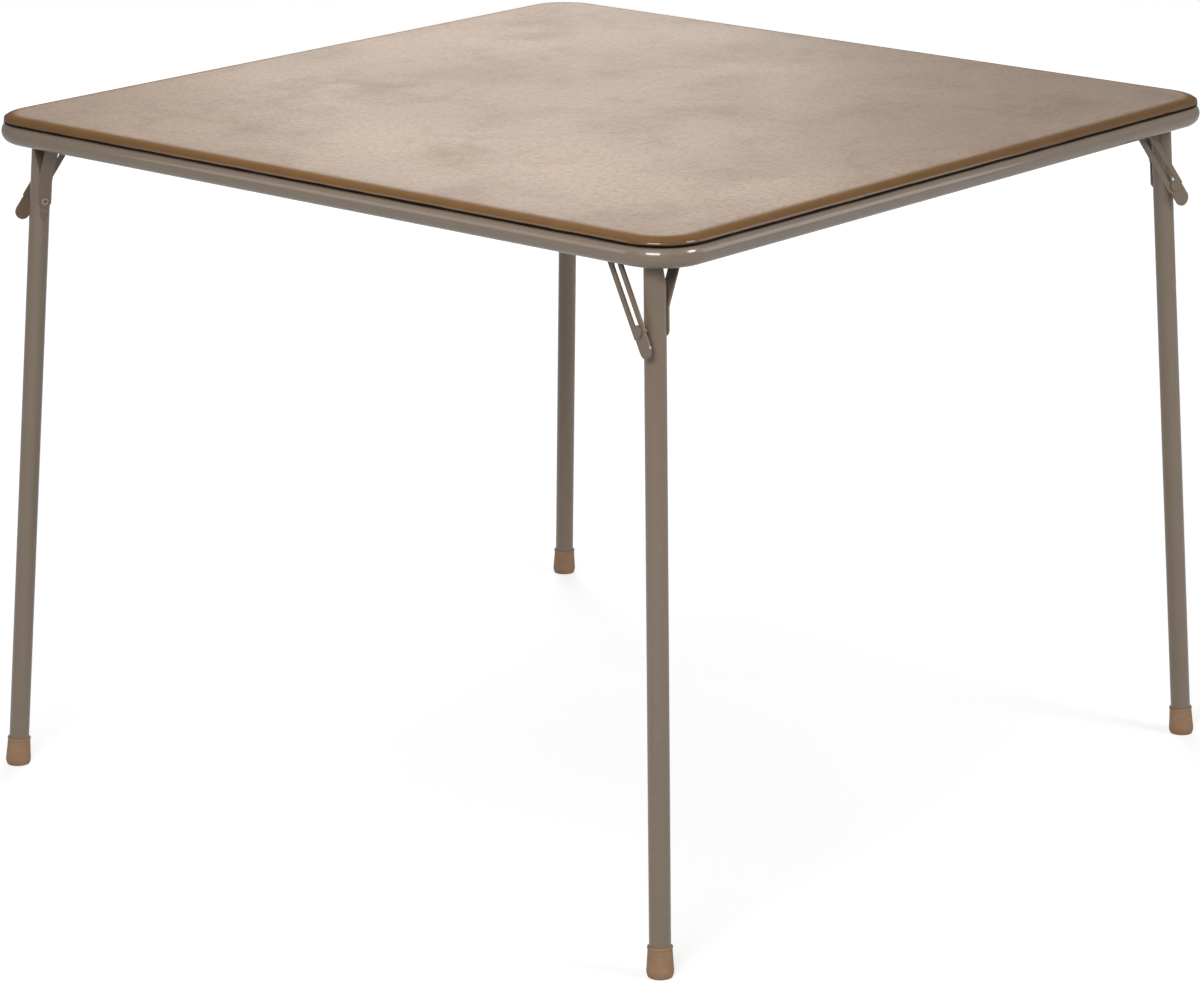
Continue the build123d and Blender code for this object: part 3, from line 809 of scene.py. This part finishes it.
def build_pad(name):
    """Joins the face grid, the profile rows and the grid over the board in one mesh object.

    The height of a row's point is the profile's height plus its share of the hem's wave."""
    face_z = np.full(face_x.size, top_height - swell)
    places = [np.stack([face_x.ravel(), face_y.ravel(), face_z], axis=1)]
    quads = [grid_quads(face_cells)]
    row_before = rim
    for number, (inset, height, wave) in enumerate(profile):
        x, y = outline(rim_t, rim_side, cover_half - inset, cover_radius - inset)
        z = height + wave * wave_height * hem_wave(x, y)
        row = face_x.size + number * rim.size + np.arange(rim.size)
        places.append(np.stack([x, y, z], axis=1))
        quads.append(band_quads(row_before, row))
        row_before = row
    inset, height, wave = profile[-1]
    inner_places, inner_quads = under_grid(row_before, row_before[-1] + 1, inset, height)
    places.append(inner_places)
    quads.append(inner_quads)
    mesh = bpy.data.meshes.new(name)
    mesh.from_pydata(np.concatenate(places).tolist(), [], np.concatenate(quads).tolist())
    mesh.update()
    pad = bpy.data.objects.new(name, mesh)
    bpy.context.scene.collection.objects.link(pad)
    return pad


padded_top = build_pad("padded_top")
print("pad", len(padded_top.data.vertices), "points", len(padded_top.data.polygons), "cells")

# %% [markdown]
# ## Swelling the skin
# Foam pushes the vinyl up, and the skin is held at its rim, so the top is a very flat cushion. Its
# crown could be a formula, but a short cloth simulation finds how a held skin really lifts: the face
# may move, everything from the rim down is pinned, and pressure lifts it. Foam is only millimetres
# thick, so the lift is capped with a soft limit, and the result is written back into the mesh.

# %% Cloth simulation
cloth_frames = 20
cloth_quality = 4
skin_mass = 0.3
pressure = 4.0


def swell_pad(pad, cap):
    """Runs pressurised cloth for some frames. The lift becomes cap * tanh(lift / cap).

    The places along x and y stay as they were."""
    mesh = pad.data
    pinned = pad.vertex_groups.new(name="pinned")
    held = np.concatenate([rim, np.arange(face_x.size, len(mesh.vertices))])
    pinned.add(held.tolist(), 1.0, "REPLACE")
    before = np.empty(len(mesh.vertices) * 3)
    mesh.vertices.foreach_get("co", before)
    cloth = pad.modifiers.new("swell", "CLOTH")
    cloth.settings.quality = cloth_quality
    cloth.settings.mass = skin_mass
    cloth.settings.vertex_group_mass = "pinned"
    cloth.settings.use_pressure = True
    cloth.settings.uniform_pressure_force = pressure
    cloth.settings.effector_weights.gravity = 0.0
    cloth.collision_settings.use_collision = False
    cloth.point_cache.frame_start = 1
    cloth.point_cache.frame_end = cloth_frames
    for number in range(1, cloth_frames + 1):
        bpy.context.scene.frame_set(number)
    shown = pad.evaluated_get(bpy.context.evaluated_depsgraph_get())
    after = np.empty(len(mesh.vertices) * 3)
    shown.data.vertices.foreach_get("co", after)
    pad.modifiers.remove(cloth)
    bpy.context.scene.frame_set(1)
    lift = np.maximum(after[2::3] - before[2::3], 0)
    before[2::3] += cap * np.tanh(lift / cap)
    mesh.vertices.foreach_set("co", before)
    mesh.update()
    pad.vertex_groups.remove(pinned)
    return lift


lift = swell_pad(padded_top, swell)
middle_lift, largest_lift = float(lift[face_x.size // 2]), float(lift.max())
print("lift before the cap: middle", round(middle_lift, 5), "largest", round(largest_lift, 5))

# %% [markdown]
# ## Finish the pad
# One level of subdivision rounds the roll and the hem, which have few rows. More rows would do that
# too, but then the cloth would have more points to move. The pad takes the vinyl, stands for the two
# soft solids of the frame, and rides on the table top.

# %% Smooth and attach
smooth = padded_top.modifiers.new("smooth", "SUBSURF")
smooth.levels = smooth.render_levels = 1
cell_count = len(padded_top.data.polygons)
padded_top.data.polygons.foreach_set("use_smooth", [True] * cell_count)
padded_top.data.materials.append(vinyl)
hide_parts("vinyl_cover", "foam_pad")
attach(padded_top, "table_top")
print("pad rides on table_top with", cell_count, "cells before subdivision")

# %% [markdown]
# ## What may see the white ground
# The photograph has a white ground. Making it white with lamps would bleach the table, so the white
# is a glow that lights nothing: only rays from the camera, through glass and from mirror-like faces
# see it. The mirror-like ones see a share of it, because the whole of it would hide the brown of the
# roll and the paint of the rail's underside behind a white sheen.

# %% White for some rays
mirror_share = 0.22


def white_ray(tree, rays):
    """1 for camera and glass rays, a share for mirror rays, and 0 for all others.

    It is the largest of the three, so the white ground shows in gloss without bleaching it."""
    mirror = tree.nodes.new("ShaderNodeMath")
    mirror.operation = "MULTIPLY"
    mirror.inputs[1].default_value = mirror_share
    join(tree, rays.outputs["Is Glossy Ray"], mirror.inputs[0])
    value = rays.outputs["Is Camera Ray"]
    for other in (mirror.outputs[0], rays.outputs["Is Transmission Ray"]):
        larger = tree.nodes.new("ShaderNodeMath")
        larger.operation = "MAXIMUM"
        join(tree, value, larger.inputs[0])
        join(tree, other, larger.inputs[1])
        value = larger.outputs[0]
    return value


print("share of the white ground in mirror-like faces", mirror_share)

# %% [markdown]
# ## Floor
# Under the table the photograph shows faint shadows. A floor that only glowed would have none, and a
# floor without glow would be grey, so this one is pale and glows as well: where nothing shades it,
# both add up to white. Far from the table the lamps give it less, so there the glow is stronger.

# %% Floor
glow_start = 1.5
glow_end = 6.0


def make_floor_material(name, colour, glow_near, glow_far):
    """A pale diffuse floor plus a glow that only camera, glass and mirror rays see.

    The glow rises evenly from glow_near to glow_far as the distance from the table's middle goes
    from glow_start to glow_end."""
    material = bpy.data.materials.new(name)
    material.use_nodes = True
    tree = material.node_tree
    tree.nodes.clear()
    diffuse = add_node(tree, "ShaderNodeBsdfDiffuse", Color=(colour, colour, colour, 1))
    emission = tree.nodes.new("ShaderNodeEmission")
    place = tree.nodes.new("ShaderNodeTexCoord").outputs["Object"]
    distance = tree.nodes.new("ShaderNodeVectorMath")
    distance.operation = "LENGTH"
    join(tree, place, distance.inputs[0])
    rise = tree.nodes.new("ShaderNodeMapRange")
    rise.inputs["From Min"].default_value = glow_start
    rise.inputs["From Max"].default_value = glow_end
    rise.inputs["To Min"].default_value = glow_near
    rise.inputs["To Max"].default_value = glow_far
    join(tree, distance.outputs["Value"], rise.inputs["Value"])
    join(tree, rise.outputs["Result"], emission.inputs["Strength"])
    rays = tree.nodes.new("ShaderNodeLightPath")
    dark = add_node(tree, "ShaderNodeEmission", Strength=0.0)
    choice = tree.nodes.new("ShaderNodeMixShader")
    join(tree, white_ray(tree, rays), choice.inputs[0])
    join(tree, dark.outputs[0], choice.inputs[1])
    join(tree, emission.outputs[0], choice.inputs[2])
    total = tree.nodes.new("ShaderNodeAddShader")
    join(tree, diffuse.outputs[0], total.inputs[0])
    join(tree, choice.outputs[0], total.inputs[1])
    output = tree.nodes.new("ShaderNodeOutputMaterial")
    join(tree, total.outputs[0], output.inputs["Surface"])
    return material


def make_floor(size):
    """One square plane of the given size at the height of the feet."""
    half = size / 2
    mesh = bpy.data.meshes.new("floor")
    places = [(-half, -half, 0), (half, -half, 0), (half, half, 0), (-half, half, 0)]
    mesh.from_pydata(places, [], [(0, 1, 2, 3)])
    floor = bpy.data.objects.new("floor", mesh)
    bpy.context.scene.collection.objects.link(floor)
    return floor


floor = make_floor(60.0)
pale_floor = make_floor_material("pale_floor", colour=0.6, glow_near=0.655, glow_far=0.93)
floor.data.materials.append(pale_floor)
print("floor", floor.name, "with a glow that rises from", glow_start, "to", glow_end, "m")

# %% [markdown]
# ## The room's fill
# A world of one even grey would be the simplest fill, but it lights the sides as much as the top. A
# studio is lit from its ceiling, so the fill here is weaker towards the horizon, and the sides of the
# rail fall off downwards as they do in the photograph.

# %% World
full_fill_from = math.radians(35)


def make_world(name, fill):
    """White for camera, mirror and glass rays. For all others it is a grey fill, which rises from a
    third of its strength at the horizon to all of it at the sine of the angle full_fill_from."""
    world = bpy.data.worlds.new(name)
    world.use_nodes = True
    tree = world.node_tree
    tree.nodes.clear()
    rays = tree.nodes.new("ShaderNodeLightPath")
    sky = tree.nodes.new("ShaderNodeTexCoord").outputs["Generated"]
    height = tree.nodes.new("ShaderNodeSeparateXYZ")
    join(tree, sky, height.inputs["Vector"])
    rise = tree.nodes.new("ShaderNodeMapRange")
    rise.inputs["From Max"].default_value = math.sin(full_fill_from)
    rise.inputs["To Min"].default_value = fill / 3
    rise.inputs["To Max"].default_value = fill
    join(tree, height.outputs["Z"], rise.inputs["Value"])
    strength = tree.nodes.new("ShaderNodeMix")
    join(tree, white_ray(tree, rays), strength.inputs["Factor"])
    join(tree, rise.outputs["Result"], strength.inputs["A"])
    strength.inputs["B"].default_value = 1.0
    background = add_node(tree, "ShaderNodeBackground", Color=(1, 1, 1, 1))
    join(tree, strength.outputs["Result"], background.inputs["Strength"])
    output = tree.nodes.new("ShaderNodeOutputWorld")
    join(tree, background.outputs[0], output.inputs["Surface"])
    return world


bpy.context.scene.world = make_world("studio", fill=0.12)
print("world", bpy.context.scene.world.name)

# %% [markdown]
# ## Lamps
# Two large soft boxes stand left and right of the camera, which gives the pair of highlights on the
# near corner. Two low boxes at the sides draw the bright bands along the rails. A strip hangs over
# the top, because the photographed top is brighter towards its left and back, and a small box behind
# the table adds the sheen at the back. A rear box lights the sides that the photograph doesn't show.
# The strip and the rear box are kept out of mirror-like views, where they would add highlights that
# the photograph doesn't have.

# %% Lamps
def add_lamp(name, place, target, size, power, mirrored):
    """A rectangular area lamp at a place, turned towards a target.

    It is tipped by the angle between straight down and the line to the target, and turned by that
    line's angle on the floor minus a quarter turn. mirrored says if gloss shows it."""
    light = bpy.data.lights.new(name, "AREA")
    light.shape = "RECTANGLE"
    light.size, light.size_y = size
    light.energy = power
    lamp = bpy.data.objects.new(name, light)
    direction = np.array(target) - np.array(place)
    lamp.visible_camera = False
    lamp.visible_glossy = mirrored
    lamp.location = place
    lamp.rotation_euler = (
        math.atan2(math.hypot(direction[0], direction[1]), -direction[2]),
        0,
        math.atan2(direction[1], direction[0]) - math.pi / 2,
    )
    bpy.context.scene.collection.objects.link(lamp)
    return lamp


table_middle = (0, 0, 0.5)
lamps = [
    add_lamp("left_box", (-3.5, -1.7, 2.6), table_middle, (1.8, 1.2), 75.0, True),
    add_lamp("right_box", (0.9, -3.4, 2.6), table_middle, (1.1, 0.9), 37.0, True),
    add_lamp("strip", (0.03, 0.27, 1.45), (0.031, 0.27085, 0.7), (0.3, 2.4), 8.6, False),
    add_lamp("back_box", (1.65, 1.55, 1.25), (0.3, 0.3, 0.7), (1.0, 0.5), 2.6, True),
    add_lamp("left_low", (-2.8, 1.9, 1.4), (-0.4, 1.9, 1.2), (1.6, 1.4), 7.0, True),
    add_lamp("right_low", (2.3, -2.6, 1.3), (2.3, -0.4, 1.1), (1.6, 1.4), 9.0, True),
    add_lamp("rear_box", (2.8, 2.6, 2.4), table_middle, (2.0, 1.5), 42.0, False),
]
print("lamps", {lamp.name: round(lamp.data.energy, 1) for lamp in lamps})

# %% [markdown]
# ## Camera
# The camera stands where the photograph was taken from: a little above the table, in front of its
# near corner, with a long lens. Its place and angles could be found by eye, but they were worked out
# from the edges of the top, the rail and the feet, so that the render's outlines fall on the
# photograph's. The lens follows from the focal length in pixels of the photograph.

# %% Camera
photo_width = 1200
focal_pixels = 4232.5
camera_place = (-3.3152, -2.7899, 1.5717)
camera_turn = 40.187
camera_dip = 16.478
camera_roll = -0.055
sensor_width = 36.0
camera_data = bpy.data.cameras.new("camera")
camera_data.sensor_width = sensor_width
camera_data.sensor_fit = "HORIZONTAL"
camera_data.lens = sensor_width * focal_pixels / photo_width
camera = bpy.data.objects.new("camera", camera_data)
camera.location = camera_place
camera.rotation_euler = [math.radians(v) for v in (90 - camera_dip, camera_roll, camera_turn - 90)]
bpy.context.scene.collection.objects.link(camera)
bpy.context.scene.camera = camera
bpy.context.scene.view_settings.view_transform = "Standard"
print("lens", round(camera_data.lens, 2), "mm")
